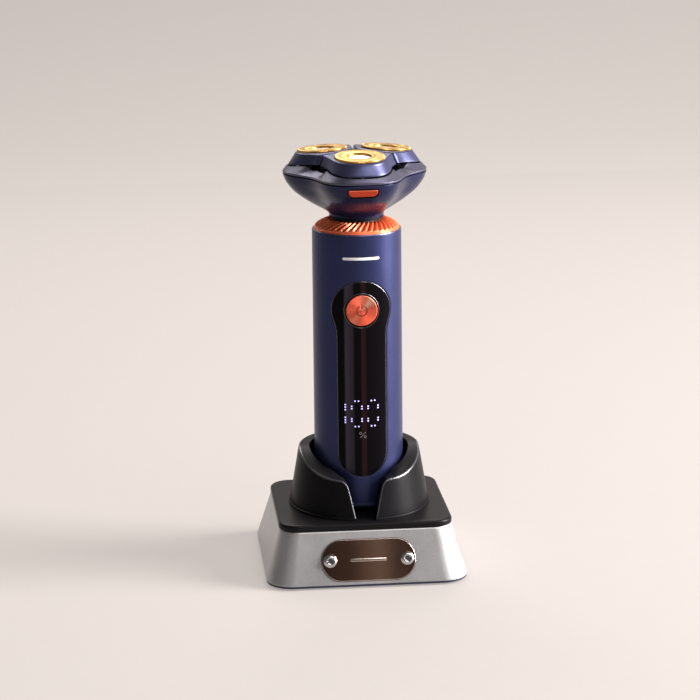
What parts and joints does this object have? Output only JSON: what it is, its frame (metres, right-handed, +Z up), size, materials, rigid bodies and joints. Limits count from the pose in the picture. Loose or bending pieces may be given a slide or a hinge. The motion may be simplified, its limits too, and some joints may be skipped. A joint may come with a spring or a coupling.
{
  "type": "rotary electric shaver",
  "caption": "Cordless rotary shaver with tilting round cutters, hinged head and digital display, standing in a square charging stand.",
  "frame": {"origin": "centre of the stand's footprint, on the surface it stands on", "axes": "+Z up along the shaver's axis; the display, the power button and the badge face -Y; +X is to the right seen from the front"},
  "size_m": [0.082, 0.08, 0.1718],
  "materials": {
    "satin_silver": "fine satin blasted",
    "base_plastic": "fine matte",
    "foot_rubber": "matte",
    "screw_steel": "zinc plated",
    "deck_black": "satin black",
    "cradle_black": "fine textured black",
    "badge_bronze": "dark bronze mirror",
    "screw_chrome": "polished",
    "connector_steel": "nickel plated",
    "board_green": "solder mask",
    "block_black": "moulded",
    "contact_gold": "gold plated",
    "navy_metallic": "satin metallic lacquer",
    "navy_plastic": "fine matte",
    "panel_black": "piano black",
    "cell_blue": "shrink sleeve over a steel can",
    "motor_can": "plated can",
    "shaft_steel": "ground",
    "turbine_orange": "satin orange",
    "button_orange": "spun and anodised",
    "release_orange": "satin orange",
    "gear_white": "moulded acetal",
    "head_navy_gloss": "gloss lacquer",
    "band_gunmetal": "satin gunmetal",
    "cover_navy": "satin metallic navy",
    "foil_gold": "titanium gold coating on steel",
    "cap_silver": "spun",
    "blade_steel": "ground"
  },
  "bodies": {
    "stand": {"stand_housing": "satin_silver", "stand_base_plate": "base_plastic", "rubber_feet": "foot_rubber", "base_screws": "screw_steel", "stand_deck": "deck_black", "cradle_cup": "cradle_black", "cradle_screws": "screw_steel", "badge_plate": "badge_bronze", "badge_screws": "screw_chrome", "usb_c_socket": "connector_steel", "stand_board": "board_green", "contact_block": "block_black"},
    "charging_pin_left": {"charging_pin_left": "contact_gold"},
    "charging_pin_right": {"charging_pin_right": "contact_gold"},
    "handle": {"handle_shell": "navy_metallic", "bottom_cap": "navy_plastic", "charging_contacts": "contact_gold", "front_panel": "panel_black", "button_bezel": "panel_black", "display_board": "board_green", "main_board": "board_green", "battery_cell": "cell_blue", "inner_chassis": "block_black", "drive_motor": "motor_can", "motor_screws": "screw_steel", "head_spigot": "block_black", "turbine_ring": "turbine_orange"},
    "power_button": {"power_button": "button_orange"},
    "motor_rotor": {"motor_shaft": "shaft_steel", "drive_coupling": "gear_white"},
    "head_base": {"neck_collar": "navy_plastic", "head_lower_housing": "head_navy_gloss", "gear_tray": "block_black", "gear_cover": "gear_white", "hinge_pin": "screw_steel"},
    "release_button": {"release_button": "release_orange"},
    "central_gear": {"central_gear": "gear_white"},
    "cutter_gear_1": {"cutter_gear_1": "gear_white"},
    "cutter_gear_2": {"cutter_gear_2": "gear_white"},
    "cutter_gear_3": {"cutter_gear_3": "gear_white"},
    "head_lid": {"head_band": "band_gunmetal", "retaining_frame": "block_black", "spring_star": "connector_steel"},
    "cutter_unit_1": {"cutter_cover_1": "cover_navy", "cutter_foil_1": "foil_gold", "centre_cap_1": "cap_silver"},
    "inner_cutter_1": {"inner_cutter_1": "blade_steel"},
    "cutter_unit_2": {"cutter_cover_2": "cover_navy", "cutter_foil_2": "foil_gold", "centre_cap_2": "cap_silver"},
    "inner_cutter_2": {"inner_cutter_2": "blade_steel"},
    "cutter_unit_3": {"cutter_cover_3": "cover_navy", "cutter_foil_3": "foil_gold", "centre_cap_3": "cap_silver"},
    "inner_cutter_3": {"inner_cutter_3": "blade_steel"}
  },
  "joints": [
    {"name": "charging_pin_left_slide", "type": "slide", "parent": "stand", "child": "charging_pin_left", "axis": [0, 0, -1], "range_m": [0, 0.0008], "stiffness_N_per_m": 150},
    {"name": "charging_pin_right_slide", "type": "slide", "parent": "stand", "child": "charging_pin_right", "axis": [0, 0, -1], "range_m": [0, 0.0008], "stiffness_N_per_m": 150},
    {"name": "shaver_lift", "type": "slide", "parent": "stand", "child": "handle", "axis": [0, 0, 1], "range_m": [0, 0.06]},
    {"name": "power_button_press", "type": "slide", "parent": "handle", "child": "power_button", "axis": [0, 1, 0], "range_m": [0, 0.0005], "stiffness_N_per_m": 400},
    {"name": "motor_spin", "type": "hinge", "parent": "handle", "child": "motor_rotor", "pos_m": [0, 0, 0.11], "axis": [0, 0, 1], "continuous": true},
    {"name": "head_lift", "type": "slide", "parent": "handle", "child": "head_base", "axis": [0, 0, 1], "range_m": [0, 0.015]},
    {"name": "release_button_press", "type": "slide", "parent": "head_base", "child": "release_button", "axis": [0, 1, 0], "range_m": [0, 0.0006], "stiffness_N_per_m": 400},
    {"name": "central_gear_spin", "type": "hinge", "parent": "head_base", "child": "central_gear", "pos_m": [0, 0, 0.158], "axis": [0, 0, 1], "continuous": true},
    {"name": "lid_hinge", "type": "hinge", "parent": "head_base", "child": "head_lid", "pos_m": [0, 0.0242, 0.1616], "axis": [-1, 0, 0], "range_deg": [0, 100]},
    {"name": "cutter_gear_1_spin", "type": "hinge", "parent": "head_base", "child": "cutter_gear_1", "pos_m": [0, -0.0145, 0.158], "axis": [0, 0, 1], "continuous": true},
    {"name": "cutter_unit_1_tilt", "type": "hinge", "parent": "head_lid", "child": "cutter_unit_1", "pos_m": [0, -0.0268, 0.1647], "axis": [-1, 0, 0], "range_deg": [0, 4], "stiffness_Nm_per_rad": 0.02, "springref_deg": -8.59, "deforming": ["spring_star"]},
    {"name": "inner_cutter_1_spin", "type": "hinge", "parent": "cutter_unit_1", "child": "inner_cutter_1", "pos_m": [0, -0.015, 0.1711], "axis": [0, -0.0785, 0.9969], "continuous": true},
    {"name": "cutter_gear_2_spin", "type": "hinge", "parent": "head_base", "child": "cutter_gear_2", "pos_m": [0.01256, 0.00725, 0.158], "axis": [0, 0, 1], "continuous": true},
    {"name": "cutter_unit_2_tilt", "type": "hinge", "parent": "head_lid", "child": "cutter_unit_2", "pos_m": [0.02321, 0.0134, 0.1647], "axis": [0.5, -0.866, 0], "range_deg": [0, 4], "stiffness_Nm_per_rad": 0.02, "springref_deg": -8.59, "deforming": ["spring_star"]},
    {"name": "inner_cutter_2_spin", "type": "hinge", "parent": "cutter_unit_2", "child": "inner_cutter_2", "pos_m": [0.01299, 0.0075, 0.1711], "axis": [0.0679, 0.0392, 0.9969], "continuous": true},
    {"name": "cutter_gear_3_spin", "type": "hinge", "parent": "head_base", "child": "cutter_gear_3", "pos_m": [-0.01256, 0.00725, 0.158], "axis": [0, 0, 1], "continuous": true},
    {"name": "cutter_unit_3_tilt", "type": "hinge", "parent": "head_lid", "child": "cutter_unit_3", "pos_m": [-0.02321, 0.0134, 0.1647], "axis": [0.5, 0.866, 0], "range_deg": [0, 4], "stiffness_Nm_per_rad": 0.02, "springref_deg": -8.59, "deforming": ["spring_star"]},
    {"name": "inner_cutter_3_spin", "type": "hinge", "parent": "cutter_unit_3", "child": "inner_cutter_3", "pos_m": [-0.01299, 0.0075, 0.1711], "axis": [-0.0679, 0.0392, 0.9969], "continuous": true}
  ],
  "couplings": [
    {"joint": "central_gear_spin", "follows": "motor_spin", "ratio": 1},
    {"joint": "cutter_gear_1_spin", "follows": "motor_spin", "ratio": -0.61111},
    {"joint": "inner_cutter_1_spin", "follows": "motor_spin", "ratio": -0.61111},
    {"joint": "cutter_gear_2_spin", "follows": "motor_spin", "ratio": -0.61111},
    {"joint": "inner_cutter_2_spin", "follows": "motor_spin", "ratio": -0.61111},
    {"joint": "cutter_gear_3_spin", "follows": "motor_spin", "ratio": -0.61111},
    {"joint": "inner_cutter_3_spin", "follows": "motor_spin", "ratio": -0.61111}
  ]
}
